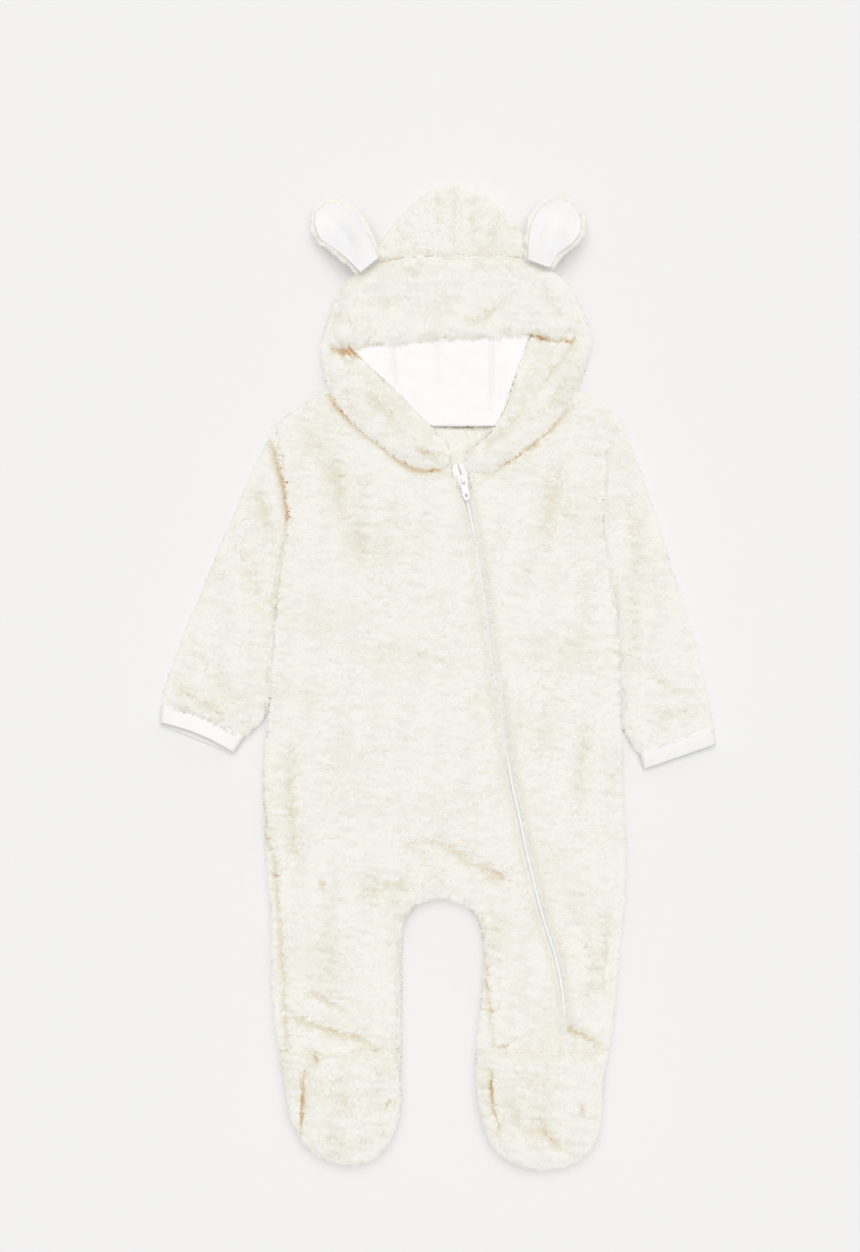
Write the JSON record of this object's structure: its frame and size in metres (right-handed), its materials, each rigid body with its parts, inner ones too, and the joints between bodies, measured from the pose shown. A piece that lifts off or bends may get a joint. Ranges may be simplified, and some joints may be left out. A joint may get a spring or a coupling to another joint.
{
  "type": "hooded fleece baby sleepsuit",
  "caption": "Hooded plush baby suit laid flat on its back, front up, with a curved front zip, rounded ears, a lined face opening, bound sleeve ends and closed feet.",
  "frame": {"origin": "centre of the bounding box in plan, on the surface that the suit rests on", "axes": "+Y towards the hood's crown, +Z out of the front, +X towards the wearer's left hand"},
  "size_m": [0.4556, 0.8059, 0.027],
  "materials": {
    "fleece": "cream plush pile",
    "jersey": "white cotton jersey",
    "zip_plastic": "satin white"
  },
  "bodies": {
    "garment": {"back": "fleece", "front_right": "fleece", "front_left": "fleece", "sleeve_right": "fleece", "sleeve_left": "fleece", "foot_top_right": "fleece", "foot_top_left": "fleece", "sole_right": "fleece", "sole_left": "fleece", "hood_right": "fleece", "hood_left": "fleece", "hood_band": "fleece", "hood_facing_right": "fleece", "hood_facing_left": "fleece", "ear_back_right": "fleece", "ear_back_left": "fleece", "hood_lining": "jersey", "cuff_right": "jersey", "cuff_left": "jersey", "ear_inner_right": "jersey", "ear_inner_left": "jersey", "zip_tape_right": "jersey", "zip_tape_left": "jersey", "zip_chain": "zip_plastic", "zip_slider": "zip_plastic"},
    "pull_tab": {"pull_tab": "zip_plastic"}
  },
  "joints": [
    {"name": "pull_tab_hinge", "type": "hinge", "parent": "garment", "child": "pull_tab", "pos_m": [0.02008, 0.16057, 0.0154], "axis": [-0.9744, -0.225, 0], "range_deg": [0, 110]}
  ]
}
